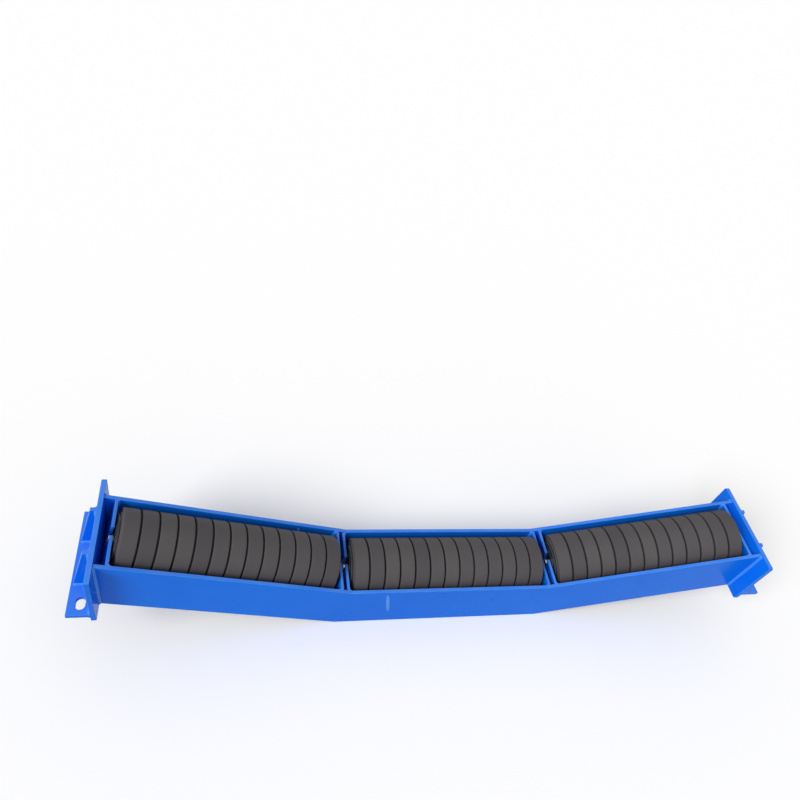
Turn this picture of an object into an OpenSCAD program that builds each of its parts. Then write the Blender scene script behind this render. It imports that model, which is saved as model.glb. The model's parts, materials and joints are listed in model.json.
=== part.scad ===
// Troughing idler set: three impact rollers in a welded frame of two bent side plates.
// X runs across the belt, Y along the belt's travel, Z is up.
// Z = 0 is where the level stretch of the side plates stands on the floor.

/* [Roller] */
// Length of the roller's steel tube
shell_len = 465; // [380:5:530]
// Outside diameter of the rubber discs
disc_dia = 133; // [120:1:140]
// Width of one rubber disc at its root
disc_w = 35; // [30:1:45]
// Width of the groove between two discs at the running surface
groove_w = 4; // [2:0.5:8]
// Free space between the roots of two discs
disc_seam = 0.1; // [0.05:0.05:0.5]
// Depth of the groove between two discs
groove_depth = 11; // [6:0.5:14]
// Radius of the rounded edge of a disc
disc_edge_r = 2; // [0.5:0.5:3]
// Outside diameter of the steel tube
tube_dia = 89; // [84:1:95]
// Wall of the steel tube
tube_wall = 4; // [3:0.5:5]
// Outside diameter of the ring that holds the discs at each end
end_ring_dia = 104; // [98:1:115]
// Free space between the tube's end and the bracket
end_gap = 4; // [3:0.5:6]

/* [Shaft] */
// Diameter of the shaft
shaft_dia = 25; // [22:0.5:28]
// Width across the two flats at a shaft end
flat_w = 18; // [14:0.5:20]
// How far a shaft end stands out behind its bracket
shaft_proud = 0.5; // [0.2:0.1:2]
// Chamfer at a shaft end
shaft_chamfer = 1; // [0.5:0.25:2]

/* [Bearing] */
// Outside diameter of the ball bearing
bearing_dia = 52; // [48:1:56]
// Width of the ball bearing
bearing_w = 15; // [13:0.5:17]
// Diameter of a ball
ball_dia = 7.9; // [7:0.1:8.5]
// Number of balls in a bearing
ball_count = 9; // [7:1:9]
// Distance from the tube's end to the middle of the bearing
bearing_inset = 24; // [23:0.5:30]
// Wall of the pressed bearing housing
housing_wall = 3; // [2:0.25:4]
// Thickness of the end cap
cap_t = 1.4; // [1:0.1:1.8]
// Thickness of the circlip
circlip_t = 1.2; // [1:0.1:1.5]

/* [Side plates] */
// Angle of the wing rollers above the level
trough_angle = 15; // [12:1:20]
// Height of the side plates across their length
side_h = 140; // [134:1:160]
// Thickness of the side plates
side_t = 8; // [6:0.5:12]
// Free space between the discs and each side plate
disc_side_gap = 5.5; // [4:0.5:12]
// Depth of the roller axis below the side plates' top edge
axis_depth = 34; // [30:1:45]
// How far the bend of the side plates lies inboard of the centre bracket
kink_inset = 4.5; // [0:0.5:10]

/* [Brackets] */
// Thickness of the bracket plates
bracket_t = 6; // [5:0.5:8]
// Depth of the inner bracket plates below the side plates' top edge
bracket_h = 128; // [110:1:134]
// Free space between the wing discs' lower edge and the outer bracket
disc_end_gap = 3.3; // [2:0.1:10]

/* [End plates] */
// Length of an end plate along the belt
end_len = 232; // [220:1:260]
// Thickness of an end plate
end_t = 10; // [8:0.5:14]
// How far an end plate rises above the side plates
end_rise = 2.5; // [0:0.5:8]
// How far an end plate reaches below the side plates
end_drop = 2; // [0:0.5:8]
// Radius of the end plate's corners
end_corner_r = 5; // [2:0.5:10]

/* [Feet] */
// Width of a foot
foot_w = 44; // [40:1:60]
// Thickness of a foot
foot_t = 10; // [8:0.5:14]
// Height of the foot's underside above the end plate's lower edge
foot_lift = 18; // [10:1:30]
// Width of the bolt slots
bolt_slot_w = 18; // [14:0.5:20]
// Length of the bolt slots along the belt
bolt_slot_len = 26; // [22:0.5:32]
// Distance from the end plate to the middle of a bolt slot
bolt_out = 20; // [16:0.5:22]
// Distance between the two bolt slots of a foot
bolt_pitch = 182; // [170:1:192]

/* [Gussets] */
// Thickness of a gusset
gusset_t = 8; // [6:0.5:12]
// Distance between the two gussets of a foot
gusset_pitch = 94; // [70:1:110]
// How far the gusset's foot stays back from the foot's outer edge
gusset_back = 4; // [2:0.5:8]
// Width of the gusset at its top
gusset_top_w = 12; // [8:0.5:20]
// How far the gusset's top stays below the end plate's top
gusset_below = 4; // [2:0.5:20]

/* [Clearances] */
// Radial clearance of a seat in which a piece is pressed or slid
fit = 0.02; // [0.01:0.01:0.04]
// Clearance of a shaft end in its bracket slot
slot_clear = 0.1; // [0.05:0.01:0.2]
// Clearance between a shaft's shoulder and its bracket
shoulder_clear = 0.25; // [0.1:0.05:0.5]
// Clearance of a ball in its tracks
ball_clear = 0.05; // [0.02:0.01:0.1]
// Clearance between parts that turn past each other
turn_clear = 0.5; // [0.3:0.1:1]
// Clearance between neighbouring shaft ends when all rollers are lifted
tip_clear = 0.6; // [0.4:0.1:3]
// Height that a lifted shaft end clears its slot by
lift_over = 0.5; // [0.2:0.1:3]

/* [Hidden] */
$fn = 96;

FRAME_BLUE = "#2B6BD0";
RUBBER = "#4A4647";
STEEL = "#B8BCC0";
BLACK_PLASTIC = "#1C1D1F";

LEFT = -1;
CENTRE = 0;
RIGHT = 1;
FRONT = -1;
REAR = 1;
past = 1;

// Roller, along its own axis from its middle
shell_half = shell_len / 2;
disc_r = disc_dia / 2;
tube_r = tube_dia / 2;
tube_bore_r = tube_r - tube_wall;
end_ring_min_w = 5;
disc_count = floor((shell_len - 2 * end_ring_min_w) / disc_w);
pack_half = disc_count * disc_w / 2;
shaft_r = shaft_dia / 2;
face_half = shell_half + end_gap;
shoulder_half = face_half - shoulder_clear;
tip_half = face_half + bracket_t + shaft_proud;

// Bearing, housing and seals, as distances from the roller's middle
bearing_mid = shell_half - bearing_inset;
bearing_in = bearing_mid - bearing_w / 2;
bearing_out = bearing_mid + bearing_w / 2;
bearing_r = bearing_dia / 2;
ball_r = ball_dia / 2;
ball_path_r = (shaft_r + bearing_r) / 2;
ring_gap = ball_dia * 0.55;
inner_ring_r = ball_path_r - ring_gap / 2;
outer_ring_r = ball_path_r + ring_gap / 2;
cage_t = 1.2;
cage_w = ball_dia + 2.4;
hub_r = bearing_r + housing_wall;
web_in = bearing_out;
web_out = web_in + housing_wall;
rim_r = tube_bore_r - fit;
rim_bore_r = rim_r - housing_wall;
rim_end = shell_half - 0.5;
cap_out = rim_end;
cap_in = cap_out - cap_t;
circlip_out = cap_in - turn_clear;
circlip_in = circlip_out - circlip_t;
circlip_groove = 0.6;
circlip_reach = 4;
seal_t = 1.4;
seal_wall = 1.5;
inner_seal_out = circlip_in;
inner_seal_in = bearing_out;
outer_seal_out = web_out + seal_t;
seal_hub_r = inner_ring_r - 0.5;
seal_fins = [0.40, 0.60, 0.80];
seal_span = rim_bore_r - seal_hub_r - seal_wall;

// Frame: the wing's own axes are u along its top edge from the bend and n square to it, downwards
kink_x = face_half - kink_inset;
side_in = disc_r + disc_side_gap;
side_out = side_in + side_t;
slot_r = shaft_r + slot_clear;
slot_half = flat_w / 2 + slot_clear;
lift_travel = axis_depth + slot_r + lift_over;
tip_gap = (lift_travel + shaft_r) * sin(trough_angle) + tip_clear;
wing_tip_u = (tip_half + tip_gap - kink_x - axis_depth * sin(trough_angle)) / cos(trough_angle);
wing_mid_u = wing_tip_u + tip_half;
outer_face_u = wing_mid_u + face_half;

function wing_x(u, n) = kink_x + u * cos(trough_angle) + n * sin(trough_angle);
function wing_z(u, n) = side_h + u * sin(trough_angle) - n * cos(trough_angle);
function top_z(x) = side_h + (x - kink_x) * tan(trough_angle);
function depth_at(u, x) = (x - wing_x(u, 0)) / sin(trough_angle);

end_in = wing_x(wing_mid_u + pack_half, axis_depth + disc_r) + disc_end_gap + bracket_t;
end_out = end_in + end_t;
kink_low_x = kink_x + side_h * tan(trough_angle / 2);
side_low_z = (end_in - kink_low_x) * tan(trough_angle);
end_low = side_low_z - end_drop;
end_top = top_z(end_in) + end_rise;
foot_low = end_low + foot_lift;
foot_top = foot_low + foot_t;
foot_out = end_out + foot_w;

// Places a roller's own axes, with X along its shaft, into the frame
module at_roller(side) {
    if (side == CENTRE)
        translate([0, 0, side_h - axis_depth])
            children();
    else
        translate([side * wing_x(wing_mid_u, axis_depth), 0, wing_z(wing_mid_u, axis_depth)])
            rotate([0, -side * trough_angle, 0])
                children();
}

module both_ends() {
    children();
    mirror([1, 0, 0])
        children();
}

module left_or_right(side) {
    if (side == LEFT)
        mirror([1, 0, 0])
            children();
    else
        children();
}

// Turned shape about X: profile points are [radius, distance along X]
module turned(points) {
    rotate([0, 90, 0])
        rotate_extrude()
            polygon(points);
}

module rod_x(radius, from_x, to_x) {
    translate([from_x, 0, 0])
        rotate([0, 90, 0])
            cylinder(r = radius, h = to_x - from_x);
}

module ring_x(bore, radius, from_x, to_x) {
    difference() {
        rod_x(radius, from_x, to_x);
        rod_x(bore, from_x - past, to_x + past);
    }
}

// Plate that stands in the X-Z plane, from one Y to another
module plate_xz(points, from_y, to_y) {
    translate([0, to_y, 0])
        rotate([90, 0, 0])
            linear_extrude(to_y - from_y)
                polygon(points);
}

// Frame -------------------------------------------------------------------

module side_plate(place) {
    outline = [
        [-end_in, top_z(end_in)], [-kink_x, side_h], [kink_x, side_h], [end_in, top_z(end_in)],
        [end_in, side_low_z], [kink_low_x, 0], [-kink_low_x, 0], [-end_in, side_low_z]
    ];
    color(FRAME_BLUE)
        plate_xz(outline, place == REAR ? side_in : -side_out, place == REAR ? side_out : -side_in);
}

module end_plate(side) {
    corner_y = end_len / 2 - end_corner_r;
    color(FRAME_BLUE)
        left_or_right(side)
            translate([end_in, 0, 0])
                rotate([90, 0, 90])
                    linear_extrude(end_t)
                        union() {
                            for (y = [-corner_y, corner_y], z = [end_low + end_corner_r, end_top - end_corner_r])
                                translate([y, z])
                                    circle(end_corner_r);
                            translate([-end_len / 2, end_low + end_corner_r])
                                square([end_len, end_top - end_low - 2 * end_corner_r]);
                            translate([-corner_y, end_low])
                                square([2 * corner_y, end_top - end_low]);
                        }
}

module bolt_slot() {
    straight = bolt_slot_len - bolt_slot_w;
    for (y = [-straight / 2, straight / 2])
        translate([0, y, -past])
            cylinder(d = bolt_slot_w, h = foot_t + 2 * past);
    translate([-bolt_slot_w / 2, -straight / 2, -past])
        cube([bolt_slot_w, straight, foot_t + 2 * past]);
}

module foot(side) {
    color(FRAME_BLUE)
        left_or_right(side)
            difference() {
                translate([end_out, -end_len / 2, foot_low])
                    cube([foot_w, end_len, foot_t]);
                for (y = [-bolt_pitch / 2, bolt_pitch / 2])
                    translate([end_out + bolt_out, y, foot_low])
                        bolt_slot();
            }
}

module gusset(side, place) {
    gusset_top = end_top - gusset_below;
    mid_y = place * gusset_pitch / 2;
    outline = [
        [end_out, foot_top], [foot_out - gusset_back, foot_top],
        [end_out + gusset_top_w, gusset_top], [end_out, gusset_top]
    ];
    color(FRAME_BLUE)
        left_or_right(side)
            plate_xz(outline, mid_y - gusset_t / 2, mid_y + gusset_t / 2);
}

// Open slot for a shaft end at the +X end of a roller, in the roller's own axes
module shaft_slot() {
    slot_x = face_half - past;
    slot_t = bracket_t + 2 * past;
    intersection() {
        rod_x(slot_r, slot_x, slot_x + slot_t);
        translate([slot_x, -slot_half, -slot_r])
            cube([slot_t, 2 * slot_half, 2 * slot_r]);
    }
    translate([slot_x, -slot_half, 0])
        cube([slot_t, 2 * slot_half, axis_depth + past]);
}

// Straight bracket plate at the +X end of a roller, in the roller's own axes
module bracket_plate() {
    difference() {
        translate([face_half, -side_in, axis_depth - bracket_h])
            cube([bracket_t, 2 * side_in, bracket_h]);
        shaft_slot();
    }
}

module centre_bracket(side) {
    color(FRAME_BLUE)
        at_roller(CENTRE)
            left_or_right(side)
                bracket_plate();
}

module inner_bracket(side) {
    color(FRAME_BLUE)
        at_roller(side)
            left_or_right(-side)
                bracket_plate();
}

// Bent plate: its upper leg is square to the wing roller, its lower leg lies on the end plate
module outer_bracket(side) {
    back_u = outer_face_u + bracket_t;
    back_n = depth_at(back_u, end_in);
    leg_in = end_in - bracket_t;
    front_n = depth_at(outer_face_u, leg_in);
    outline = [
        [wing_x(outer_face_u, 0), wing_z(outer_face_u, 0)], [wing_x(back_u, 0), wing_z(back_u, 0)],
        [end_in, wing_z(back_u, back_n)], [end_in, end_low],
        [leg_in, end_low], [leg_in, wing_z(outer_face_u, front_n)]
    ];
    color(FRAME_BLUE)
        difference() {
            left_or_right(side)
                plate_xz(outline, -side_in, side_in);
            at_roller(side)
                left_or_right(side)
                    shaft_slot();
        }
}

// Rollers -----------------------------------------------------------------

module roller_shaft(side) {
    color(STEEL)
        at_roller(side)
            difference() {
                turned([
                    [0, -tip_half], [shaft_r - shaft_chamfer, -tip_half],
                    [shaft_r, -tip_half + shaft_chamfer], [shaft_r, tip_half - shaft_chamfer],
                    [shaft_r - shaft_chamfer, tip_half], [0, tip_half]
                ]);
                both_ends() {
                    for (y = [flat_w / 2, -flat_w / 2 - shaft_r])
                        translate([shoulder_half, y, -shaft_r - past])
                            cube([tip_half, shaft_r, 2 * (shaft_r + past)]);
                    ring_x(shaft_r - circlip_groove, shaft_r + past, circlip_in, circlip_out);
                }
            }
}

module roller_tube(side) {
    color(STEEL)
        at_roller(side)
            ring_x(tube_bore_r, tube_r, -shell_half, shell_half);
}

module rubber_disc() {
    half_w = (disc_w - disc_seam) / 2;
    land_w = (disc_w - groove_w) / 2;
    root_r = disc_r - groove_depth;
    edge_r = disc_r - disc_edge_r;
    bevel = half_w - land_w;
    rounding = [
        for (a = [0 : 15 : 90])
            [edge_r + disc_edge_r * sin(a), land_w - disc_edge_r + disc_edge_r * cos(a)]
    ];
    right_side = concat([[tube_r + fit, half_w], [root_r, half_w], [root_r + bevel, land_w]], rounding);
    left_side = [for (i = [len(right_side) - 1 : -1 : 0]) [right_side[i][0], -right_side[i][1]]];
    turned(concat(right_side, left_side));
}

module roller_rubber_discs(side) {
    color(RUBBER)
        at_roller(side)
            for (i = [0 : disc_count - 1])
                translate([(i + 0.5) * disc_w - pack_half, 0, 0])
                    rubber_disc();
}

module roller_end_rings(side) {
    color(STEEL)
        at_roller(side)
            both_ends()
                ring_x(tube_r + fit, end_ring_dia / 2, pack_half, shell_half);
}

module roller_bearing_housings(side) {
    bore = bearing_r + fit;
    lip_r = outer_ring_r + past;
    outline = [
        [lip_r, bearing_in - housing_wall], [hub_r, bearing_in - housing_wall],
        [hub_r, web_in], [rim_r, web_in], [rim_r, rim_end], [rim_bore_r, rim_end],
        [rim_bore_r, web_out], [bore, web_out], [bore, bearing_in], [lip_r, bearing_in]
    ];
    color(STEEL)
        at_roller(side)
            both_ends()
                turned(outline);
}

// Ball track about X at the bearing's middle
module ball_track() {
    translate([bearing_mid, 0, 0])
        rotate([0, 90, 0])
            rotate_extrude()
                translate([ball_path_r, 0])
                    circle(ball_r + ball_clear);
}

module roller_bearing_outer_rings(side) {
    color(STEEL)
        at_roller(side)
            both_ends()
                difference() {
                    ring_x(outer_ring_r, bearing_r, bearing_in, bearing_out);
                    ball_track();
                }
}

module roller_bearing_inner_rings(side) {
    color(STEEL)
        at_roller(side)
            both_ends()
                difference() {
                    ring_x(shaft_r + fit, inner_ring_r, bearing_in, bearing_out);
                    ball_track();
                }
}

module bearing_balls(radius) {
    for (i = [0 : ball_count - 1])
        rotate([i * 360 / ball_count, 0, 0])
            translate([bearing_mid, 0, ball_path_r])
                sphere(radius);
}

module roller_bearing_balls(side) {
    color(STEEL)
        at_roller(side)
            both_ends()
                bearing_balls(ball_r);
}

module roller_bearing_cages(side) {
    color(STEEL)
        at_roller(side)
            both_ends()
                difference() {
                    ring_x(
                        ball_path_r - cage_t / 2, ball_path_r + cage_t / 2,
                        bearing_mid - cage_w / 2, bearing_mid + cage_w / 2
                    );
                    bearing_balls(ball_r + ball_clear);
                }
}

// Labyrinth half that turns with the tube
module roller_outer_seals(side) {
    fin_out = inner_seal_out - seal_t - turn_clear;
    color(BLACK_PLASTIC)
        at_roller(side)
            both_ends() {
                ring_x(seal_hub_r + turn_clear, rim_bore_r - fit, web_out, outer_seal_out);
                ring_x(
                    seal_hub_r + seal_span * seal_fins[1], seal_hub_r + seal_span * seal_fins[1] + seal_wall,
                    outer_seal_out - seal_t / 2, fin_out
                );
            }
}

// Labyrinth half that stays with the shaft
module roller_inner_seals(side) {
    fin_in = outer_seal_out + turn_clear;
    color(BLACK_PLASTIC)
        at_roller(side)
            both_ends() {
                ring_x(shaft_r + fit, seal_hub_r, inner_seal_in, inner_seal_out);
                ring_x(shaft_r + fit, rim_bore_r - 2 * turn_clear, inner_seal_out - seal_t, inner_seal_out);
                for (i = [0, 2])
                    ring_x(
                        seal_hub_r + seal_span * seal_fins[i],
                        seal_hub_r + seal_span * seal_fins[i] + seal_wall,
                        fin_in, inner_seal_out - seal_t / 2
                    );
            }
}

module roller_circlips(side) {
    color(STEEL)
        at_roller(side)
            both_ends()
                ring_x(
                    shaft_r - circlip_groove + fit, shaft_r + circlip_reach,
                    circlip_in + fit, circlip_out - fit
                );
}

module roller_end_caps(side) {
    color(BLACK_PLASTIC)
        at_roller(side)
            both_ends()
                ring_x(shaft_r + turn_clear, rim_bore_r - fit, cap_in, cap_out);
}

side_plate(FRONT);  // side_plate_front
side_plate(REAR);  // side_plate_rear
end_plate(LEFT);  // end_plate_left
end_plate(RIGHT);  // end_plate_right
foot(LEFT);  // foot_left
foot(RIGHT);  // foot_right
gusset(LEFT, FRONT);  // gusset_left_front
gusset(LEFT, REAR);  // gusset_left_rear
gusset(RIGHT, FRONT);  // gusset_right_front
gusset(RIGHT, REAR);  // gusset_right_rear
centre_bracket(LEFT);  // centre_bracket_left
centre_bracket(RIGHT);  // centre_bracket_right
inner_bracket(LEFT);  // inner_bracket_left
inner_bracket(RIGHT);  // inner_bracket_right
outer_bracket(LEFT);  // outer_bracket_left
outer_bracket(RIGHT);  // outer_bracket_right
roller_shaft(LEFT);  // left_shaft
roller_shaft(CENTRE);  // centre_shaft
roller_shaft(RIGHT);  // right_shaft
roller_tube(LEFT);  // left_tube
roller_tube(CENTRE);  // centre_tube
roller_tube(RIGHT);  // right_tube
roller_rubber_discs(LEFT);  // left_rubber_discs
roller_rubber_discs(CENTRE);  // centre_rubber_discs
roller_rubber_discs(RIGHT);  // right_rubber_discs
roller_end_rings(LEFT);  // left_end_rings
roller_end_rings(CENTRE);  // centre_end_rings
roller_end_rings(RIGHT);  // right_end_rings
roller_bearing_housings(LEFT);  // left_bearing_housings
roller_bearing_housings(CENTRE);  // centre_bearing_housings
roller_bearing_housings(RIGHT);  // right_bearing_housings
roller_bearing_outer_rings(LEFT);  // left_bearing_outer_rings
roller_bearing_outer_rings(CENTRE);  // centre_bearing_outer_rings
roller_bearing_outer_rings(RIGHT);  // right_bearing_outer_rings
roller_bearing_inner_rings(LEFT);  // left_bearing_inner_rings
roller_bearing_inner_rings(CENTRE);  // centre_bearing_inner_rings
roller_bearing_inner_rings(RIGHT);  // right_bearing_inner_rings
roller_bearing_balls(LEFT);  // left_bearing_balls
roller_bearing_balls(CENTRE);  // centre_bearing_balls
roller_bearing_balls(RIGHT);  // right_bearing_balls
roller_bearing_cages(LEFT);  // left_bearing_cages
roller_bearing_cages(CENTRE);  // centre_bearing_cages
roller_bearing_cages(RIGHT);  // right_bearing_cages
roller_outer_seals(LEFT);  // left_outer_seals
roller_outer_seals(CENTRE);  // centre_outer_seals
roller_outer_seals(RIGHT);  // right_outer_seals
roller_inner_seals(LEFT);  // left_inner_seals
roller_inner_seals(CENTRE);  // centre_inner_seals
roller_inner_seals(RIGHT);  // right_inner_seals
roller_circlips(LEFT);  // left_circlips
roller_circlips(CENTRE);  // centre_circlips
roller_circlips(RIGHT);  // right_circlips
roller_end_caps(LEFT);  // left_end_caps
roller_end_caps(CENTRE);  // centre_end_caps
roller_end_caps(RIGHT);  // right_end_caps
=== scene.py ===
# %% [markdown]
# # A troughing idler set with impact rollers
#
# A conveyor belt runs over sets like this one. Three rollers lie in a welded steel frame: a
# level one in the middle and a tilted one on each side, so that the belt sags into a trough.
# These rollers carry rubber discs, because they stand where ore or stone drops on the belt.
#
# The plates, shafts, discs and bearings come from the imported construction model, and none of
# them is moved or reshaped here. Blender adds what that model leaves out: the weld beads, the
# moulded end caps, the runs in the paint, and the finish of every surface.

# %% Load the frame
import json
import math
import random

import bmesh
import bpy
from mathutils import Matrix, Quaternion, Vector


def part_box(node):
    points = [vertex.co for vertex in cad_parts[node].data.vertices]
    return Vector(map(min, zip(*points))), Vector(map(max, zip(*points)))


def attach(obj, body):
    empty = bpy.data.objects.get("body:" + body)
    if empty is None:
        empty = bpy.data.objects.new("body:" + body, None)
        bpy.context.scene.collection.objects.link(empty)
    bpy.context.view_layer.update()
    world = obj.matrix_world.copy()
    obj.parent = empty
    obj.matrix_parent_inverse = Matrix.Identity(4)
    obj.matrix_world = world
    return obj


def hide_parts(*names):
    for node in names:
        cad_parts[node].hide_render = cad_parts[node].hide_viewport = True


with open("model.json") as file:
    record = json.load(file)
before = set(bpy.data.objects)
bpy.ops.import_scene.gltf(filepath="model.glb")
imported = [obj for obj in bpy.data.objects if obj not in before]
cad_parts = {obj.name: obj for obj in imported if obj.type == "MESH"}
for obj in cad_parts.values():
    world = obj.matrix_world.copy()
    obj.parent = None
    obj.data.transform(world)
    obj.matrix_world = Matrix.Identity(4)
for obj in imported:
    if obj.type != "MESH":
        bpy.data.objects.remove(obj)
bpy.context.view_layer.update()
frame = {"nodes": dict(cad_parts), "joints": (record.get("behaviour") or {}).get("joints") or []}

MM = 0.001

# %% [markdown]
# ## The camera
#
# The set is seen from above its left front corner, looking down at about 45 degrees. The camera
# is also tipped sideways, which lifts the right end of the set. A camera object looks along its
# own -Z, so `to_track_quat` aims it, and a turn about Z after that does the tipping.

# %% Place the camera
CAMERA_PLACE = Vector((-0.532, -0.728, 1.485))
CAMERA_TARGET = Vector((0.007, 0.619, 0.0))
CAMERA_TIP = math.radians(18.7)
CAMERA_LENS = 30.4

camera_data = bpy.data.cameras.new("camera")
camera_data.lens = CAMERA_LENS
camera = bpy.data.objects.new("camera", camera_data)
bpy.context.scene.collection.objects.link(camera)
camera.rotation_mode = "QUATERNION"
camera.location = CAMERA_PLACE
aim = (CAMERA_TARGET - CAMERA_PLACE).to_track_quat("-Z", "Y")
camera.rotation_quaternion = aim @ Quaternion((0, 0, 1), CAMERA_TIP)
bpy.context.scene.camera = camera
print("camera looks down by", round(math.degrees(math.asin(
    (CAMERA_PLACE - CAMERA_TARGET).normalized().z)), 1), "degrees")

# %% [markdown]
# ## Two helpers for every material
#
# Paint charts give a colour as an sRGB hex value, but shaders add light in linear values, so one
# function turns hex to linear. The other adds a shader node with its settings and its inputs.
# An input is either a plain value or the output socket of another node.

# %% Colour and node helpers
def linear(hex_colour):
    """The linear RGBA colour of an sRGB hex value such as "#0A66DE"."""
    channels = [int(hex_colour[i:i + 2], 16) / 255 for i in (1, 3, 5)]
    return [c / 12.92 if c <= 0.04045 else ((c + 0.055) / 1.055) ** 2.4 for c in channels] + [1.0]


def add(tree, kind, inputs=None, **settings):
    """Adds a node of that kind to the tree and returns it."""
    node = tree.nodes.new(kind)
    for name, value in settings.items():
        setattr(node, name, value)
    for name, value in (inputs or {}).items():
        if isinstance(value, bpy.types.NodeSocket):
            tree.links.new(value, node.inputs[name])
        else:
            node.inputs[name].default_value = value
    return node


print("helpers ready; mid grey is", round(linear("#808080")[0], 3), "in linear light")

# %% [markdown]
# ## The studio
#
# The set stands on a plain pale floor under soft light. Two sun lamps with a wide disc stand in
# for large softboxes: their light is the same everywhere on the floor, which a lamp near the set
# can't do. The world fills the shade. Its strength of 1 for camera, glossy and transmission rays
# gives a white background and a white room for the gloss to mirror, while the lower strength for
# all other rays keeps the object at a plain level. The floor is as white as the background to the
# same rays, so no horizon shows. To the rest it is a pale grey, so it throws less light up under
# the plates. It is a plain diffuse floor to both, and holds the set's shadow. It lies a hair
# below the set, so that the two never share a plane. The Standard view transform shows colours as
# they are written.

# %% Floor, world and lamps
bpy.context.scene.view_settings.view_transform = "Standard"

FILL_LEVEL = 0.52
KEY_POWER = 2.25
KEY_COMES_FROM = (-0.95, -0.58, 0.85)
KEY_DISC = math.radians(30)
SIDE_POWER = 0.20
SIDE_COMES_FROM = (0.4, -0.9, 0.8)
SIDE_DISC = math.radians(60)
FLOOR_SEEN = "#FFFFFF"
FLOOR_BOUNCE = "#BEBEBE"
FLOOR_HALF = 12.0
FLOOR_DROP = 0.2 * MM

# A mix node has a socket for each kind of value; these are the numbers of its colour sockets.
MIX_FACTOR, MIX_FROM, MIX_TO, MIX_RESULT = 0, 6, 7, 2


def seen_rays(tree):
    """1 for the rays that look at a background, straight, by reflection or through glass."""
    rays = add(tree, "ShaderNodeLightPath").outputs
    either = add(tree, "ShaderNodeMath", {0: rays["Is Camera Ray"], 1: rays["Is Glossy Ray"]},
                 operation="MAXIMUM")
    return add(tree, "ShaderNodeMath", {0: either.outputs[0], 1: rays["Is Transmission Ray"]},
               operation="MAXIMUM").outputs[0]


world = bpy.data.worlds.new("white_studio")
bpy.context.scene.world = world
world.use_nodes = True
tree = world.node_tree
tree.nodes.clear()
fill = add(tree, "ShaderNodeBackground", {"Color": linear("#FFFFFF"), "Strength": FILL_LEVEL})
backdrop = add(tree, "ShaderNodeBackground", {"Color": linear(FLOOR_SEEN), "Strength": 1.0})
both = add(tree, "ShaderNodeMixShader",
           {0: seen_rays(tree), 1: fill.outputs[0], 2: backdrop.outputs[0]})
add(tree, "ShaderNodeOutputWorld", {"Surface": both.outputs[0]})


def sun(name, comes_from, power, disc):
    """A sun lamp whose light comes from that direction, out of a disc that wide."""
    data = bpy.data.lights.new(name, "SUN")
    data.energy = power
    data.angle = disc
    lamp = bpy.data.objects.new(name, data)
    lamp.rotation_mode = "QUATERNION"
    lamp.rotation_quaternion = Vector(comes_from).to_track_quat("Z", "Y")
    bpy.context.scene.collection.objects.link(lamp)


sun("key_softbox", KEY_COMES_FROM, KEY_POWER, KEY_DISC)
sun("side_softbox", SIDE_COMES_FROM, SIDE_POWER, SIDE_DISC)

floor_mesh = bpy.data.meshes.new("studio_floor")
floor_mesh.from_pydata(
    [(FLOOR_HALF * x, FLOOR_HALF * y, -FLOOR_DROP)
     for x, y in ((-1, -1), (1, -1), (1, 1), (-1, 1))], [], [(0, 1, 2, 3)])
floor = bpy.data.objects.new("studio_floor", floor_mesh)
bpy.context.scene.collection.objects.link(floor)
floor_paint = bpy.data.materials.new("matt_white_floor_paint")
floor_paint.use_nodes = True
tree = floor_paint.node_tree
tree.nodes.clear()
tone = add(tree, "ShaderNodeMix", {MIX_FACTOR: seen_rays(tree), MIX_FROM: linear(FLOOR_BOUNCE),
                                   MIX_TO: linear(FLOOR_SEEN)}, data_type="RGBA")
matt = add(tree, "ShaderNodeBsdfDiffuse", {"Color": tone.outputs[MIX_RESULT]})
add(tree, "ShaderNodeOutputMaterial", {"Surface": matt.outputs[0]})
floor_mesh.materials.append(floor_paint)
print("studio ready: fill", FILL_LEVEL, "key", KEY_POWER, "side", SIDE_POWER)

# %% [markdown]
# ## What the frame tells
#
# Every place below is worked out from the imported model, so the looks follow it when a size
# changes. The hinge of each roller gives its middle and its axis. The straight plates have few
# corners, and `corners` lists them, so a weld can be laid from one named corner to another.

# %% Measure the rollers and the plates
ROLLERS = ("left", "centre", "right")
SIDES = {"left": -1, "right": 1}
hinges = {joint["name"]: joint for joint in frame["joints"]}
roller_middle = {r: Vector(hinges[f"{r}_roller_spin"]["pos_m"]) for r in ROLLERS}
roller_axis = {r: Vector(hinges[f"{r}_roller_spin"]["axis"]).normalized() for r in ROLLERS}


def roller_matrix(roller):
    """Places a roller's own axes, with X along its shaft and Z square to it, into the frame."""
    along = roller_axis[roller]
    upward = along.cross(Vector((0, 1, 0)))
    turn = Matrix((along, (0, 1, 0), upward)).transposed().to_4x4()
    return Matrix.Translation(roller_middle[roller]) @ turn


def corners(node):
    """The corners of a CAD plate, each once, in metres."""
    return [Vector(c) for c in sorted({
        tuple(round(v, 6) for v in vertex.co) for vertex in frame["nodes"][node].data.vertices})]


side_low, side_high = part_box("side_plate_front")
side_corners = corners("side_plate_front")
# How far the outer and the inner faces of both side plates lie from the plane Y = 0.
SIDE_OUT = -side_low.y
SIDE_IN = -side_high.y
print("side plate corners:", len(side_corners))
print("its faces lie", round(SIDE_OUT / MM, 2), "and", round(SIDE_IN / MM, 2), "mm from Y = 0")
for roller in ROLLERS:
    print(roller, "roller middle in mm:", [round(v / MM, 1) for v in roller_middle[roller]])

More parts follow.
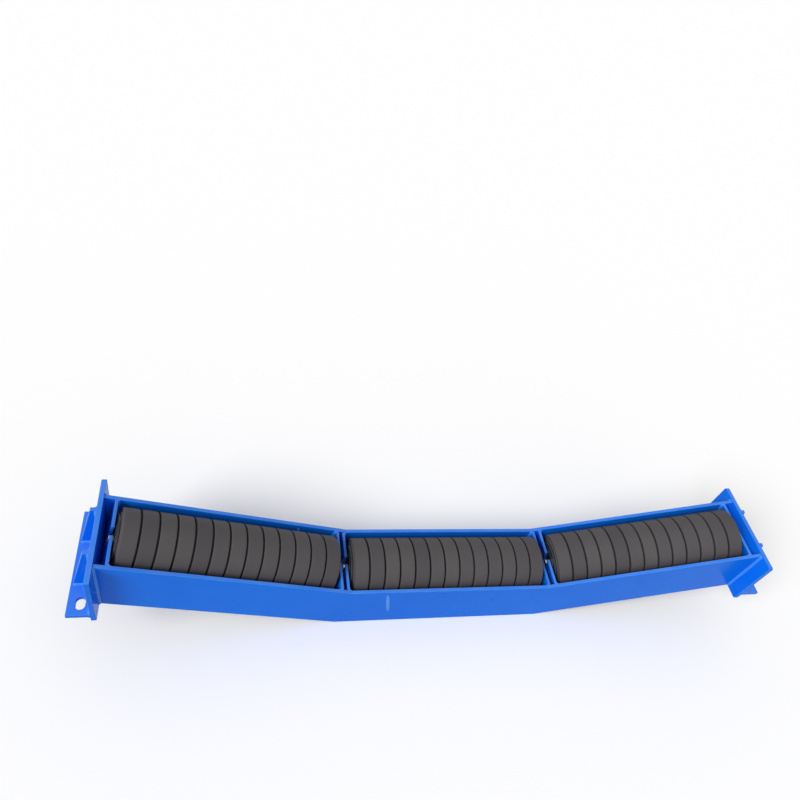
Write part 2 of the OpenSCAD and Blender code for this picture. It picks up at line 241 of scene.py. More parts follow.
# %% [markdown]
# ## The paint
#
# The frame is hot-rolled plate, blasted and then sprayed with one thick coat of blue alkyd
# enamel. Such a coat dries with a soft ripple that painters call orange peel. The film is
# thicker in some places than in others, which shifts the blue a little, and handling leaves dull
# rubs. Alkyd has an IOR near 1.5 and a roughness of about 0.25. Its specular level is kept low,
# because this studio is white all round and a workshop isn't. The ripple is really 3 mm wide,
# and is drawn at 12 mm so that it shows at all.
#
# Along the edges the blue is painted paler. This is a painted highlight, for the white room that
# rounded edges reflect. A bevel node gives the normal that a rounder edge would have, and where
# it differs from the real one there is an edge. A noise breaks that band up.
#
# Every face that looks up, such as the tops of the feet, is painted a tenth paler. This is a
# painted sheen, for the white room that such a face reflects.
# The height of the face's normal says which faces those are.
#
# A weld bead wears the same enamel. Its ripples are too small to glint one by one, so their
# glints are painted into its colour as a paler blue.
# This is a painted highlight. Its enamel is also glossier.

# %% Blue alkyd enamel
ORANGE_PEEL = 12 * MM
PEEL_DEPTH = 0.5 * MM
FILM_PATCH = 180 * MM
# The size of the dull rubs, and of the patches of the painted sheen.
RUB_AND_SHEEN_PATCH = 60 * MM
# The next three set the painted highlight along the edges: its width, the size of its breaks and
# its colour.
EDGE_HIGHLIGHT_RADIUS = 2.5 * MM
EDGE_HIGHLIGHT_PATCH = 25 * MM
EDGE_HIGHLIGHT_BLUE = "#6EA9F0"
# The next two set the painted sheen on faces that look up: its colour and how much of it.
TOP_SHEEN_BLUE = "#BCDDE8"
TOP_SHEEN_COVER = 0.11
PLATE_SPECULAR = 0.04
WELD_SPECULAR = 0.20


def painted_edge_highlight(tree, place):
    """0 on the flat of a plate, up to 1 along its edges: the mask of a painted highlight."""
    rounder = add(tree, "ShaderNodeBevel", {"Radius": EDGE_HIGHLIGHT_RADIUS}, samples=4)
    real = add(tree, "ShaderNodeNewGeometry")
    same = add(tree, "ShaderNodeVectorMath",
               {0: rounder.outputs["Normal"], 1: real.outputs["Normal"]}, operation="DOT_PRODUCT")
    edge = add(tree, "ShaderNodeMapRange", {"Value": same.outputs["Value"], "From Min": 0.995,
                                            "From Max": 0.85, "To Min": 0.0, "To Max": 1.0})
    highlight_breakup = add(tree, "ShaderNodeTexNoise",
               {"Vector": place, "Scale": 1 / EDGE_HIGHLIGHT_PATCH, "Detail": 4.0, "Roughness": 0.7})
    kept = add(tree, "ShaderNodeMapRange", {"Value": highlight_breakup.outputs["Fac"], "From Min": 0.30,
                                            "From Max": 0.65, "To Min": 0.25, "To Max": 0.85})
    return add(tree, "ShaderNodeMath", {0: edge.outputs["Result"], 1: kept.outputs["Result"]},
               operation="MULTIPLY").outputs[0]


def painted_top_sheen(tree, place):
    """0 on upright faces, up to about a tenth on the faces that look up: the mask of a painted
    sheen.
    """
    normal = add(tree, "ShaderNodeNewGeometry").outputs["Normal"]
    height = add(tree, "ShaderNodeSeparateXYZ", {"Vector": normal}).outputs["Z"]
    level = add(tree, "ShaderNodeMapRange", {"Value": height, "From Min": 0.80, "From Max": 0.96,
                                             "To Min": 0.0, "To Max": TOP_SHEEN_COVER})
    sheen_drift = add(tree, "ShaderNodeTexNoise",
                {"Vector": place, "Scale": 1 / RUB_AND_SHEEN_PATCH, "Detail": 4.0, "Roughness": 0.6})
    depth = add(tree, "ShaderNodeMapRange", {"Value": sheen_drift.outputs["Fac"], "From Min": 0.35,
                                             "From Max": 0.65, "To Min": 0.7, "To Max": 1.2})
    return add(tree, "ShaderNodeMath", {0: level.outputs["Result"], 1: depth.outputs["Result"]},
               operation="MULTIPLY").outputs[0]


def blue_enamel(name, blue, deep_blue, specular):
    """Blue enamel, sprayed on steel, with a painted highlight along its edges and a painted sheen
    on its tops.
    """
    material = bpy.data.materials.new(name)
    material.use_nodes = True
    tree = material.node_tree
    place = add(tree, "ShaderNodeTexCoord").outputs["Object"]
    film = add(tree, "ShaderNodeTexNoise",
               {"Vector": place, "Scale": 1 / FILM_PATCH, "Detail": 3.0, "Roughness": 0.55})
    colour = add(tree, "ShaderNodeMix", {MIX_FACTOR: film.outputs["Fac"],
                                         MIX_FROM: linear(deep_blue),
                                         MIX_TO: linear(blue)}, data_type="RGBA")
    # Paler along the edges: a painted highlight.
    edge_highlighted = add(tree, "ShaderNodeMix", {MIX_FACTOR: painted_edge_highlight(tree, place),
                                       MIX_FROM: colour.outputs[MIX_RESULT],
                                       MIX_TO: linear(EDGE_HIGHLIGHT_BLUE)}, data_type="RGBA")
    # Paler on faces that look up: a painted sheen.
    top_sheened = add(tree, "ShaderNodeMix", {MIX_FACTOR: painted_top_sheen(tree, place),
                                        MIX_FROM: edge_highlighted.outputs[MIX_RESULT],
                                        MIX_TO: linear(TOP_SHEEN_BLUE)}, data_type="RGBA")
    rubs = add(tree, "ShaderNodeTexNoise",
               {"Vector": place, "Scale": 1 / RUB_AND_SHEEN_PATCH, "Detail": 6.0, "Roughness": 0.7})
    dull = add(tree, "ShaderNodeMapRange", {"Value": rubs.outputs["Fac"], "From Min": 0.50,
                                            "From Max": 0.80, "To Min": 0.20, "To Max": 0.36})
    peel = add(tree, "ShaderNodeTexNoise",
               {"Vector": place, "Scale": 1 / ORANGE_PEEL, "Detail": 1.0})
    ripple = add(tree, "ShaderNodeBump",
                 {"Height": peel.outputs["Fac"], "Strength": 0.09, "Distance": PEEL_DEPTH})
    shader = tree.nodes["Principled BSDF"]
    shader.inputs["Specular IOR Level"].default_value = specular
    tree.links.new(top_sheened.outputs[MIX_RESULT], shader.inputs["Base Color"])
    tree.links.new(dull.outputs["Result"], shader.inputs["Roughness"])
    tree.links.new(ripple.outputs["Normal"], shader.inputs["Normal"])
    return material


plate_enamel = blue_enamel("blue_alkyd_enamel", "#0D77EF", "#0A69DE", PLATE_SPECULAR)
# The weld's paler blue is a painted highlight, for the glints of its ripples.
weld_enamel_with_painted_glint = blue_enamel("blue_enamel_over_weld_painted_glint", "#3B8FF2", "#1F7CE8", WELD_SPECULAR)
print("made", plate_enamel.name, "and", weld_enamel_with_painted_glint.name)

# %% [markdown]
# ## The plates
#
# A sheared or flame-cut plate has no razor edge: the edge is broken with a grinder before the
# paint goes on, and a rounded edge is what catches the light. The CAD plates have sharp edges,
# and a bevel modifier rounds them without touching their mesh. Their corners are split, one copy
# for each face, so a weld modifier joins the copies first. Their flat faces are cut into thin
# triangles, which a bevel turns inside out, so a decimate modifier set to dissolve makes each
# flat face one polygon again.
#
# A face with holes in it still keeps a cut or two from its holes to its rim. A bevel likes to
# slide along such a cut, which folds it over itself, so `loop_slide` is off and the rounding has
# an even width. Blender also holds a whole bevel back if it could overlap at one place. On the
# feet it would do so though nothing overlaps, so they go without that clamp.

# %% Paint and round the plates
EDGE_BREAK = 1.0 * MM
ROUND_STEPS = 3
SAME_PLACE = 0.01 * MM
FLAT_WITHIN = math.radians(0.5)
SHARP_FROM = math.radians(40)
PLATES = [n for n in frame["nodes"]
          if n.startswith(("side_plate", "end_plate", "foot", "gusset")) or "_bracket_" in n]


def join_corners(node):
    """Makes one corner of all corner copies that lie in one place."""
    join = node.modifiers.new("joined_corners", "WELD")
    join.merge_threshold = SAME_PLACE


def dress(node_name, material, edge=0.0):
    """Gives a CAD node its material and, if edge is above 0, rounds its sharp edges."""
    node = frame["nodes"][node_name]
    for slot in node.material_slots:
        slot.material = material
    if edge > 0:
        join_corners(node)
        flat = node.modifiers.new("whole_flat_faces", "DECIMATE")
        flat.decimate_type = "DISSOLVE"
        flat.angle_limit = FLAT_WITHIN
        bevel = node.modifiers.new("rounded_edges", "BEVEL")
        bevel.width = edge
        bevel.segments = ROUND_STEPS
        bevel.limit_method = "ANGLE"
        bevel.angle_limit = SHARP_FROM
        bevel.harden_normals = True
        bevel.loop_slide = False


for name in PLATES:
    dress(name, plate_enamel, EDGE_BREAK)
for name in SIDES:
    frame["nodes"][f"foot_{name}"].modifiers["rounded_edges"].use_clamp_overlap = False
print("painted", len(PLATES), "plates")

# %% [markdown]
# ## Two helpers for pieces made in code
#
# Weld beads, paint runs and end caps are all built the same way: as a row of sections, each a
# ring of vertices. One helper joins the rings. It closes a bar at both ends, or joins the last
# section of a turned piece to its first. The other helper makes the result a piece of the set,
# and prints how many edges were left open, which should be none.

# %% Helpers for pieces made in code
def join_rings(bm, rings, turned=False):
    """Joins rings of vertices into a closed surface: a bar, or a turned piece."""
    following = rings[1:] + rings[:1] if turned else rings[1:]
    for one, other in zip(rings, following):
        for k in range(len(one)):
            m = (k + 1) % len(one)
            bm.faces.new((one[k], one[m], other[m], other[k]))
    if not turned:
        bm.faces.new(rings[0])
        bm.faces.new(rings[-1])


def finish_piece(name, bm, material, body):
    """Turns a bmesh into a smooth piece that rides on a body."""
    bmesh.ops.recalc_face_normals(bm, faces=bm.faces)
    open_edges = sum(1 for edge in bm.edges if len(edge.link_faces) != 2)
    mesh = bpy.data.meshes.new(name)
    bm.to_mesh(mesh)
    bm.free()
    mesh.shade_smooth()
    mesh.materials.append(material)
    piece = bpy.data.objects.new(name, mesh)
    bpy.context.scene.collection.objects.link(piece)
    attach(piece, body)
    print("made", name, "with", len(mesh.polygons), "faces and", open_edges, "open edges")
    return piece


X, Y, Z = Vector((1, 0, 0)), Vector((0, 1, 0)), Vector((0, 0, 1))
print("helpers ready for bars and turned pieces")

# %% [markdown]
# ## The weld beads
#
# The plates are joined by fillet welds, laid in the corners where they meet. A welder lays them
# by hand, drop after drop, so a bead has crescent ripples across it, a rounded face and ends
# that thin out. A bead could be a curve with a round section, but then it would look like a
# pipe. Here each bead is a row of sections along the corner, and every section is pushed out by
# the ripple that it lies in. A real ripple is 2 to 3 mm long, and is drawn 5 mm long so that it
# shows. The seed makes the hand's small wander the same in every run.

# %% Weld bead
WELD_LEG = 5.5 * MM
RIPPLE_PITCH = 5 * MM
SECTION_STEP = 1.0 * MM
FEWEST_SECTIONS = 6
FACE_STEPS = 6
ROOT_DEPTH = 0.4 * MM
BLUNT_END = 0.8 * MM
WANDER_PACE = 9 * MM
WANDER = 0.12
CROWN = 0.20
RIPPLE = 0.07
welder_hand = random.Random(11)


def weld_bead(bm, start, end, on_one, on_other, leg=WELD_LEG):
    """Lays a fillet weld along a corner. on_one and on_other point away from it on the plates."""
    length = (end - start).length
    count = max(FEWEST_SECTIONS, round(length / SECTION_STEP))
    phases = [welder_hand.uniform(0, math.tau) for _ in range(3)]
    outward = (on_one + on_other).normalized()
    rings = []
    for i in range(count + 1):
        travel = length * i / count
        waves = [math.sin(travel / (WANDER_PACE * (k + 1)) + p) for k, p in enumerate(phases)]
        wander = sum(waves) / len(waves)
        # The ends thin out over the last few millimetres.
        from_end = min(travel, length - travel)
        taper = min(1.0, (from_end + BLUNT_END) / leg) ** 0.5
        size = leg * taper * (1 + WANDER * wander)
        corner = start.lerp(end, i / count)
        ring = [bm.verts.new(corner - outward * ROOT_DEPTH)]
        for k in range(FACE_STEPS + 1):
            t = k / FACE_STEPS
            # 1 in the middle of the face and 0 at both toes. The ripple runs half a pitch behind
            # in the middle, which bends it into a crescent.
            middle = 4 * t * (1 - t)
            ripple = math.cos(math.tau * (travel - 0.5 * RIPPLE_PITCH * middle) / RIPPLE_PITCH)
            crown = size * (CROWN * middle + RIPPLE * ripple * (0.4 + 0.6 * middle))
            ring.append(bm.verts.new(
                corner + on_one * size * (1 - t) + on_other * size * t + outward * crown))
        rings.append(ring)
    join_rings(bm, rings)


print("a bead has a section every", SECTION_STEP / MM, "mm, with", FACE_STEPS + 2, "corners each")

# %% [markdown]
# ### End plate welds
#
# The side plates end square against the end plates, so each has an upright bead down its outer
# face. The plates' own corners at that end give the bead its top and its foot.

# %% Welds between side plates and end plates
bm = bmesh.new()
for side in SIDES.values():
    end_x = side * side_high.x
    heights = [c.z for c in side_corners if abs(c.x - end_x) < MM]
    for face in (-1, 1):
        foot_point = Vector((end_x, face * SIDE_OUT, min(heights)))
        top_point = Vector((end_x, face * SIDE_OUT, max(heights)))
        weld_bead(bm, foot_point, top_point, face * Y, -side * X)
finish_piece("side_plate_welds", bm, weld_enamel_with_painted_glint, "frame")

# %% [markdown]
# ### Bracket welds
#
# The bracket plates stand across the frame, from one side plate to the other. The welder reaches
# them from the side where the roller will lie, before the roller goes in. So each bead runs down
# the roller's side of a bracket, in the corner with a side plate. A straight bracket's four
# corners on that side are those nearest to its roller's middle.

# %% Welds of the straight brackets
def near_face(node, roller):
    """The low and the high end, at Y = 0, of a straight bracket's face on its roller's side."""
    along, middle = roller_axis[roller], roller_middle[roller]
    reach = [abs((c - middle).dot(along)) for c in corners(node)]
    face = [c for c, r in zip(corners(node), reach) if r < min(reach) + MM]
    low = min(face, key=lambda c: c.z)
    high = max(face, key=lambda c: c.z)
    return Vector((low.x, 0, low.z)), Vector((high.x, 0, high.z))


bm = bmesh.new()
for name in SIDES:
    for node, roller in ((f"centre_bracket_{name}", "centre"), (f"inner_bracket_{name}", name)):
        low, high = near_face(node, roller)
        to_roller = roller_axis[roller] * math.copysign(
            1, (roller_middle[roller] - low).dot(roller_axis[roller]))
        for face in (-1, 1):
            offset = face * SIDE_IN * Y
            weld_bead(bm, low + offset, high + offset, -face * Y, to_roller)
finish_piece("roller_bracket_welds", bm, weld_enamel_with_painted_glint, "frame")

# %% [markdown]
# The outer bracket is a bent plate: its upper leg is square to the wing roller and its lower leg
# lies flat on the end plate. Its bead follows the bend, so it is laid in two runs that meet
# there, first up the lower leg and then up the upper one.

# %% Welds of the bent outer brackets
def bent_face(node, side):
    """Foot, bend and top, at Y = 0, of a bent bracket's face on the roller's side."""
    # The plate's section, from its corners at the side plates, with the most inboard one first.
    line = {(round(c.x, 5), round(c.z, 5)) for c in corners(node) if abs(c.y) > SIDE_IN - MM}
    line = sorted((Vector((x, 0, z)) for x, z in line), key=lambda c: side * c.x)
    top = line[0]
    foot = min(line, key=lambda c: (round(c.z, 4), side * c.x))
    # The lower leg stands upright, so the bend is straight above the foot.
    bend = next(c for c in line if abs(c.x - foot.x) < 0.1 * MM and c.z > foot.z + MM)
    return foot, bend, top


bm = bmesh.new()
for name, side in SIDES.items():
    foot, bend, top = bent_face(f"outer_bracket_{name}", side)
    upper = (top - bend).normalized()
    square_on = Vector((-upper.z, 0, upper.x)) * side
    for face in (-1, 1):
        offset = face * SIDE_IN * Y
        weld_bead(bm, foot + offset, bend + offset, -face * Y, -side * X)
        weld_bead(bm, bend + offset, top + offset, -face * Y, square_on)
    print(name, "outer bracket foot, bend and top in mm:",
          [[round(v / MM, 1) for v in p] for p in (foot, bend, top)])
finish_piece("outer_bracket_welds", bm, weld_enamel_with_painted_glint, "frame")

# %% [markdown]
# ### Foot and gusset welds
#
# A foot is welded to its end plate above and below. The two gussets stand on it in the way of
# the upper bead, so that one is laid in three runs. Each gusset has a bead on both sides, along
# the foot and then up the end plate. These beads carry the whole load of the belt, so they are
# a little heavier.

# %% Welds of the feet and gussets
HEAVY_LEG = 7 * MM
GUSSET_GAP = 1.5 * MM

bm = bmesh.new()
for name, side in SIDES.items():
    foot_low, foot_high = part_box(f"foot_{name}")
    plate_x = side * min(abs(foot_low.x), abs(foot_high.x))
    outward = side * X
    stops = [foot_low.y]
    for place in ("front", "rear"):
        low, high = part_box(f"gusset_{name}_{place}")
        stops += [low.y - GUSSET_GAP, high.y + GUSSET_GAP]
        top_z = high.z
        reach = max(abs(low.x), abs(high.x))
        for face_y, away in ((low.y, -Y), (high.y, Y)):
            root = Vector((plate_x, face_y, foot_high.z))
            toe = Vector((side * reach, face_y, foot_high.z))
            top = Vector((plate_x, face_y, top_z))
            weld_bead(bm, root, toe, away, Z)
            weld_bead(bm, root, top, away, outward)
    stops.append(foot_high.y)
    for start_y, end_y in zip(stops[::2], stops[1::2]):
        weld_bead(bm, Vector((plate_x, start_y, foot_high.z)),
                  Vector((plate_x, end_y, foot_high.z)), Z, outward, HEAVY_LEG)
    weld_bead(bm, Vector((plate_x, foot_low.y, foot_low.z)),
              Vector((plate_x, foot_high.y, foot_low.z)), -Z, outward, HEAVY_LEG)
finish_piece("foot_and_gusset_welds", bm, weld_enamel_with_painted_glint, "frame")

# %% [markdown]
# ## Runs in the paint
#
# Where the spray gun dwells, the wet coat sags and a run creeps down the plate. Its crest, where
# the ridge faces straight out, is painted a paler blue. This is a painted highlight, for the
# light that the ridge catches. The sideways part of the normal tells the crest from the sides.

# %% Enamel of a run
# The paler blue is a painted highlight on a run's crest.
RUN_HIGHLIGHT_BLUE = "#62AAFF"


def enamel_of_runs():
    """The plates' enamel, with a painted highlight along the crest of a run and plain at its
    sides.
    """
    material = plate_enamel.copy()
    material.name = "blue_enamel_run_painted_highlight"
    tree = material.node_tree
    shader = tree.nodes["Principled BSDF"]
    base = shader.inputs["Base Color"].links[0].from_socket
    normal = add(tree, "ShaderNodeNewGeometry").outputs["Normal"]
    sideways = add(tree, "ShaderNodeMath",
                   {0: add(tree, "ShaderNodeSeparateXYZ", {"Vector": normal}).outputs["X"]},
                   operation="ABSOLUTE")
    # Where the ridge faces straight out, the blue is painted paler: a painted highlight.
    crest = add(tree, "ShaderNodeMapRange", {"Value": sideways.outputs[0], "From Min": 0.24,
                                             "From Max": 0.12, "To Min": 0.0, "To Max": 0.55})
    crest_highlight = add(tree, "ShaderNodeMix", {MIX_FACTOR: crest.outputs["Result"], MIX_FROM: base,
                                       MIX_TO: linear(RUN_HIGHLIGHT_BLUE)}, data_type="RGBA")
    tree.links.new(crest_highlight.outputs[MIX_RESULT], shader.inputs["Base Color"])
    return material


run_enamel_painted_highlight = enamel_of_runs()
print("made", run_enamel_painted_highlight.name)

# %% [markdown]
# A run dries as a low ridge that ends in a point. Such a frame is sprayed hanging from a hook,
# and never quite level, so a run leans a little. It is drawn as a row of arched sections, full
# width over most of its length, and the feet of each arch dip into the plate. It starts a little
# below the plate's top edge, which is found from the plate's corners.

# %% Paint runs
RUN_WIDTH = 8 * MM
RUN_HEIGHT = 0.7 * MM
RUN_BELOW_EDGE = 12 * MM
RUN_STEPS = 24
RUN_ARCH = 10
# Each run: the place of its top along the set, its plate face's Y, its fall and its lean.
RUNS = [(-151 * MM, -SIDE_OUT, 80 * MM, 17 * MM),
        (-345 * MM, SIDE_IN, 120 * MM, 13 * MM)]


def top_edge(x):
    """The height of a side plate's top edge at that place along the set."""
    # A corner is on the top edge if another one lies below it.
    near = 0.2 * (side_high.z - side_low.z)
    tops = [c for c in side_corners if any(abs(o.x - c.x) < near and o.z < c.z - MM
                                           for o in side_corners)]
    tops = sorted({(c.x, c.z) for c in tops})
    for (x0, z0), (x1, z1) in zip(tops, tops[1:]):
        if x0 <= x <= x1:
            return z0 + (z1 - z0) * (x - x0) / (x1 - x0)


def paint_run(bm, x, y, fall, lean):
    """Adds a run on the plate face at y that looks to the front."""
    rings = []
    for i in range(RUN_STEPS + 1):
        t = i / RUN_STEPS
        size = min(1.0, 0.35 + 4 * t, (4 * (1 - t)) ** 0.7 + 0.05)
        left = x + lean * t - RUN_WIDTH * size / 2
        z = top_edge(x) - RUN_BELOW_EDGE - fall * t
        rings.append([bm.verts.new((left + RUN_WIDTH * size * k / RUN_ARCH,
                                    y - RUN_HEIGHT * size * math.sin(math.pi * k / RUN_ARCH), z))
                      for k in range(-1, RUN_ARCH + 2)])
    join_rings(bm, rings)


bm = bmesh.new()
for run in RUNS:
    paint_run(bm, *run)
finish_piece("paint_runs", bm, run_enamel_painted_highlight, "frame")

# %% [markdown]
# ## The roller's own axes
#
# Turned parts have their pattern along or around their axis. The wing rollers lie tilted, so
# their materials need coordinates that lie tilted too: X along the shaft, from the roller's
# middle. A mapping node set to Texture does that, because it undoes a placement.

# %% Roller coordinates
def roller_place(tree, roller):
    """A node output that gives the place in the roller's own axes, in metres."""
    matrix = roller_matrix(roller)
    place = add(tree, "ShaderNodeTexCoord").outputs["Object"]
    own = add(tree, "ShaderNodeMapping",
              {"Vector": place, "Location": matrix.to_translation(),
               "Rotation": matrix.to_euler()}, vector_type="TEXTURE")
    return own.outputs["Vector"]


for roller in ROLLERS:
    tilt = math.degrees(math.asin(roller_axis[roller].z))
    print(roller, "roller tilt:", round(tilt, 1), "degrees")

# %% [markdown]
# ## The rubber discs
#
# The discs are moulded from natural rubber filled with carbon black and then pressed onto the
# tube side by side. New rubber is a deep brownish grey rather than black, and quite dull: a
# roughness of 0.7 to 0.8, with a fine grain from the mould. Each disc comes from its own
# moulding, so their tones differ slightly. A white noise node fed with the disc's number gives
# each its own tone, and the number is the place along the roller divided by a disc's width.
# The grain is really 0.3 mm, and is drawn at 2.5 mm so that it shows.

# %% Moulded black rubber
DISC_COUNT = 13
# The centre roller lies level, so the length of its row of discs can be read along X.
row_low, row_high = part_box("centre_rubber_discs")
DISC_WIDTH = (row_high.x - row_low.x) / DISC_COUNT
RUBBER_GRAIN = 2.5 * MM
GRAIN_DEPTH = 0.4 * MM
DUST_PATCH = 35 * MM


def moulded_rubber(roller):
    """Dull natural rubber, a slightly different tone for each disc."""
    material = bpy.data.materials.new(f"moulded_rubber_{roller}")
    material.use_nodes = True
    tree = material.node_tree
    place = roller_place(tree, roller)
    along = add(tree, "ShaderNodeSeparateXYZ", {"Vector": place}).outputs["X"]
    widths = add(tree, "ShaderNodeMath", {0: along, 1: DISC_WIDTH}, operation="DIVIDE")
    counted = add(tree, "ShaderNodeMath", {0: widths.outputs[0], 1: DISC_COUNT / 2},
                  operation="ADD")
    number = add(tree, "ShaderNodeMath", {0: counted.outputs[0]}, operation="FLOOR")
    tone = add(tree, "ShaderNodeTexWhiteNoise", {"W": number.outputs[0]}, noise_dimensions="1D")
    dust = add(tree, "ShaderNodeTexNoise",
               {"Vector": place, "Scale": 1 / DUST_PATCH, "Detail": 5.0, "Roughness": 0.65})
    amount = add(tree, "ShaderNodeMath", {0: tone.outputs["Value"], 1: dust.outputs["Fac"]},
                 operation="MULTIPLY")
    shade = add(tree, "ShaderNodeValToRGB", {"Fac": amount.outputs[0]})
    shade.color_ramp.elements[0].color = linear("#434043")
    shade.color_ramp.elements[1].color = linear("#524E50")
    shade.color_ramp.elements[1].position = 0.8
    grain = add(tree, "ShaderNodeTexNoise",
                {"Vector": place, "Scale": 1 / RUBBER_GRAIN, "Detail": 3.0, "Roughness": 0.6})
    skin = add(tree, "ShaderNodeBump",
               {"Height": grain.outputs["Fac"], "Strength": 0.35, "Distance": GRAIN_DEPTH})
    shader = tree.nodes["Principled BSDF"]
    shader.inputs["Roughness"].default_value = 0.72
    shader.inputs["IOR"].default_value = 1.52
    shader.inputs["Specular IOR Level"].default_value = 0.35
    tree.links.new(shade.outputs["Color"], shader.inputs["Base Color"])
    tree.links.new(skin.outputs["Normal"], shader.inputs["Normal"])
    return material


for roller in ROLLERS:
    dress(f"{roller}_rubber_discs", moulded_rubber(roller))
print("disc width", round(DISC_WIDTH / MM, 2), "mm")

# %% [markdown]
# ## The steel
#
# A shaft is turned from cold-drawn bar, so the tool leaves a thread of rings round it, and the
# flats at its ends are milled. Bare steel has a metallic value of 1, a light neutral grey and a
# roughness of 0.22 to 0.42. The rings are really 0.2 mm apart and are drawn 7.5 mm apart, as a
# faint swell. A wave texture with a scale of 1 has a band every tau / 20 of a metre.

# %% Turned bright steel
TURNING_PITCH = 7.54 * MM
TURNING_DEPTH = 0.1 * MM
STAIN_PATCH = 14 * MM
SHAFT_EDGE = 0.3 * MM


def turned_steel(roller):
    """Bright turned bar steel with faint rings round the shaft."""
    material = bpy.data.materials.new(f"turned_steel_{roller}")
    material.use_nodes = True
    tree = material.node_tree
    place = roller_place(tree, roller)
    rings = add(tree, "ShaderNodeTexWave",
                {"Vector": place, "Scale": math.tau / (20 * TURNING_PITCH), "Distortion": 0.4,
                 "Detail": 1.0}, bands_direction="X")
    stain = add(tree, "ShaderNodeTexNoise",
                {"Vector": place, "Scale": 1 / STAIN_PATCH, "Detail": 4.0})
    shine = add(tree, "ShaderNodeMapRange", {"Value": stain.outputs["Fac"], "From Min": 0.3,
                                             "From Max": 0.75, "To Min": 0.22, "To Max": 0.42})
    thread = add(tree, "ShaderNodeBump",
                 {"Height": rings.outputs["Fac"], "Strength": 0.25, "Distance": TURNING_DEPTH})
    shader = tree.nodes["Principled BSDF"]
    shader.inputs["Base Color"].default_value = linear("#C9CBCC")
    shader.inputs["Metallic"].default_value = 1.0
    tree.links.new(shine.outputs["Result"], shader.inputs["Roughness"])
    tree.links.new(thread.outputs["Normal"], shader.inputs["Normal"])
    return material


for roller in ROLLERS:
    dress(f"{roller}_shaft", turned_steel(roller), SHAFT_EDGE)
print("dressed the shafts")

# %% [markdown]
# The pieces inside a roller hardly show, but each still gets the finish of its real steel. Only
# colour, metallic value, roughness and the size of a faint mottle differ, so one function makes
# all four: thin black primer on the tube and its rings, oiled pressed sheet for the bearing
# housings and cages, ground and polished bearing steel, and the near-black phosphate coat of a
# circlip.

# %% Other steels
MOTTLE_DEPTH = 0.1 * MM


def mottled_steel(name, light, dark, metallic, roughness, patch):
    """Steel whose tone drifts softly between a light and a dark value."""
    material = bpy.data.materials.new(name)
    material.use_nodes = True
    tree = material.node_tree
    place = add(tree, "ShaderNodeTexCoord").outputs["Object"]
    mottle = add(tree, "ShaderNodeTexNoise",
                 {"Vector": place, "Scale": 1 / patch, "Detail": 4.0, "Roughness": 0.6})
    shade = add(tree, "ShaderNodeValToRGB", {"Fac": mottle.outputs["Fac"]})
    shade.color_ramp.elements[0].color = linear(dark)
    shade.color_ramp.elements[0].position = 0.3
    shade.color_ramp.elements[1].color = linear(light)
    shade.color_ramp.elements[1].position = 0.7
    skin = add(tree, "ShaderNodeBump",
               {"Height": mottle.outputs["Fac"], "Strength": 0.2, "Distance": MOTTLE_DEPTH})
    shader = tree.nodes["Principled BSDF"]
    shader.inputs["Metallic"].default_value = metallic
    shader.inputs["Roughness"].default_value = roughness
    tree.links.new(shade.outputs["Color"], shader.inputs["Base Color"])
    tree.links.new(skin.outputs["Normal"], shader.inputs["Normal"])
    return material


black_primer = mottled_steel("black_primed_tube_steel", "#242527", "#17181A", 0.0, 0.45, 9 * MM)
pressed_sheet = mottled_steel("oiled_pressed_sheet", "#A5A8AB", "#8D9093", 1.0, 0.38, 12 * MM)
ground_steel = mottled_steel("ground_bearing_steel", "#D3D5D6", "#C4C7C9", 1.0, 0.12, 6 * MM)
phosphated = mottled_steel("phosphated_spring_steel", "#3A3B3E", "#2B2C2F", 1.0, 0.5, 3 * MM)

TURNED_EDGE = 0.4 * MM
STEEL_NODES = {
    "tube": (black_primer, TURNED_EDGE), "end_rings": (black_primer, TURNED_EDGE),
    "bearing_housings": (pressed_sheet, TURNED_EDGE), "bearing_cages": (pressed_sheet, 0.0),
    "bearing_outer_rings": (ground_steel, 0.0), "bearing_inner_rings": (ground_steel, 0.0),
    "bearing_balls": (ground_steel, 0.0), "circlips": (phosphated, 0.0),
}
for roller in ROLLERS:
    for piece, (material, edge) in STEEL_NODES.items():
        dress(f"{roller}_{piece}", material, edge)
    # A ball's mesh has a folded triangle at each pole, which joined corners close.
    join_corners(frame["nodes"][f"{roller}_bearing_balls"])
print("dressed", len(ROLLERS) * len(STEEL_NODES), "steel nodes")

# %% [markdown]
# ## Moulded plastic
#
# The labyrinth seals and the end caps are injection-moulded from black nylon. The mould gives
# them a fine even grain, so they are neither glossy nor dead matt: an IOR of 1.53 and a
# roughness near 0.45. The grain is drawn at 0.8 mm, coarser than the real 0.1 mm.

# %% Black nylon
NYLON_GRAIN = 0.8 * MM
NYLON_DEPTH = 0.05 * MM
SEAL_EDGE = 0.2 * MM
black_nylon = bpy.data.materials.new("moulded_black_nylon")
black_nylon.use_nodes = True
tree = black_nylon.node_tree
place = add(tree, "ShaderNodeTexCoord").outputs["Object"]
grain = add(tree, "ShaderNodeTexNoise",
            {"Vector": place, "Scale": 1 / NYLON_GRAIN, "Detail": 2.0})
skin = add(tree, "ShaderNodeBump",
           {"Height": grain.outputs["Fac"], "Strength": 0.3, "Distance": NYLON_DEPTH})
shader = tree.nodes["Principled BSDF"]
shader.inputs["Base Color"].default_value = linear("#1C1D1F")
shader.inputs["Roughness"].default_value = 0.45
shader.inputs["IOR"].default_value = 1.53
tree.links.new(skin.outputs["Normal"], shader.inputs["Normal"])
for roller in ROLLERS:
    for piece in ("outer_seals", "inner_seals"):
        dress(f"{roller}_{piece}", black_nylon, SEAL_EDGE)
print("made", black_nylon.name)

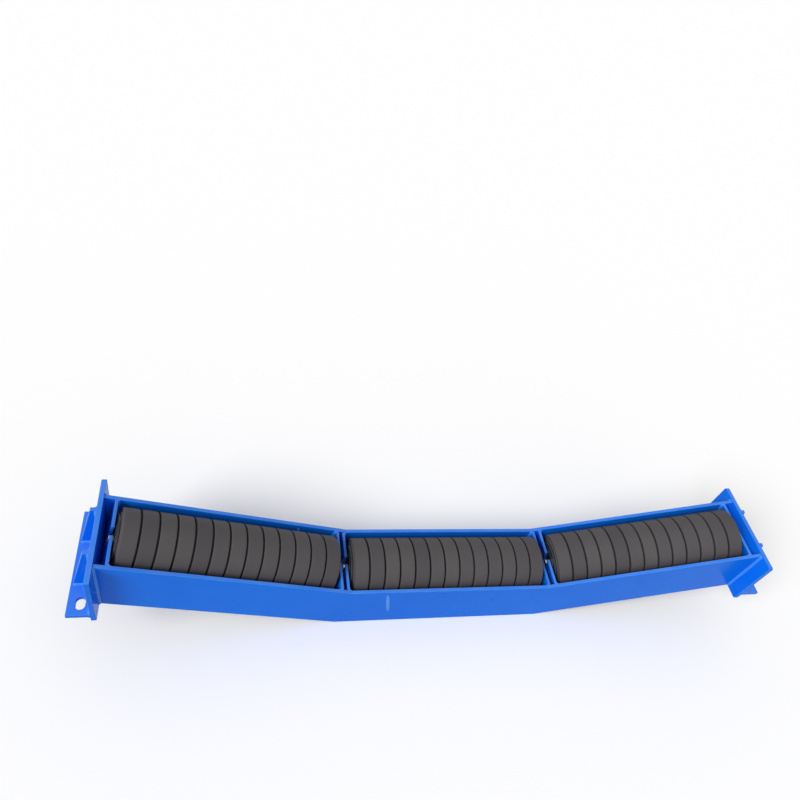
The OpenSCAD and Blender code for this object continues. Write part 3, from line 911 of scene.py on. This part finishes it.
# %% [markdown]
# ### The end caps
#
# The end cap keeps mud off the seals. The CAD ring gives its size; the real cap is a moulding
# with a rolled rim, a collar round the shaft and a fan of low ribs that fling dirt outwards.
# Its section, a list of radii and distances from the roller's middle, is turned about the shaft.
# Each rib is a small tapered bar, from the collar to the rim. The new piece stands for the CAD
# ring and rides with the roller's shell.

# %% Moulded end caps
CAP_TURNS = 96
CAP_RIBS = 24
RIB_HEIGHT = 0.9 * MM
RIB_WIDTH = 1.6 * MM
RIB_ROOT = 0.2 * MM
RIM_HEIGHT = 1.2 * MM


def cap_size():
    """Bore radius, outer radius, and inner and outer distance from the roller's middle."""
    vertices = frame["nodes"]["centre_end_caps"].data.vertices
    spots = [v.co - roller_middle["centre"] for v in vertices]
    radii = [math.hypot(p.y, p.z) for p in spots]
    reach = [abs(p.x) for p in spots]
    return min(radii), max(radii), min(reach), max(reach)


CAP_BORE, CAP_RADIUS, CAP_IN, CAP_OUT = cap_size()
cap_section = [
    (CAP_BORE, CAP_IN), (CAP_RADIUS, CAP_IN), (CAP_RADIUS, CAP_OUT + 0.7 * RIM_HEIGHT),
    (CAP_RADIUS - 0.4 * MM, CAP_OUT + RIM_HEIGHT), (CAP_RADIUS - 1.6 * MM, CAP_OUT + RIM_HEIGHT),
    (CAP_RADIUS - 2.2 * MM, CAP_OUT + 0.4 * RIM_HEIGHT), (CAP_RADIUS - 2.6 * MM, CAP_OUT),
    (CAP_BORE + 3.4 * MM, CAP_OUT), (CAP_BORE + 2.8 * MM, CAP_OUT + 0.5 * RIM_HEIGHT),
    (CAP_BORE + 2.0 * MM, CAP_OUT + RIM_HEIGHT), (CAP_BORE + 0.4 * MM, CAP_OUT + RIM_HEIGHT),
    (CAP_BORE, CAP_OUT + 0.7 * RIM_HEIGHT),
]
rib_section = [(-RIB_ROOT, RIB_WIDTH / 2), (RIB_HEIGHT, RIB_WIDTH / 4),
               (RIB_HEIGHT, -RIB_WIDTH / 4), (-RIB_ROOT, -RIB_WIDTH / 2)]
RIB_FROM, RIB_TO = CAP_BORE + 3.0 * MM, CAP_RADIUS - 2.3 * MM


def add_cap(bm, end):
    """Adds one cap at an end of a roller, in the roller's own axes."""
    rings = []
    for i in range(CAP_TURNS):
        angle = math.tau * i / CAP_TURNS
        rings.append([bm.verts.new((end * x, r * math.cos(angle), r * math.sin(angle)))
                      for r, x in cap_section])
    join_rings(bm, rings, turned=True)
    for i in range(CAP_RIBS):
        turn = Matrix.Rotation(math.tau * (i + 0.5) / CAP_RIBS, 4, "X")
        join_rings(bm, [[bm.verts.new(turn @ Vector((end * (CAP_OUT + h), w, r)))
                         for h, w in rib_section] for r in (RIB_FROM, RIB_TO)])


for roller in ROLLERS:
    bm = bmesh.new()
    for end in (-1, 1):
        add_cap(bm, end)
    bm.transform(roller_matrix(roller))
    caps = finish_piece(f"{roller}_moulded_end_caps", bm, black_nylon,
                        f"{roller}_roller_shell")
    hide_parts(f"{roller}_end_caps")
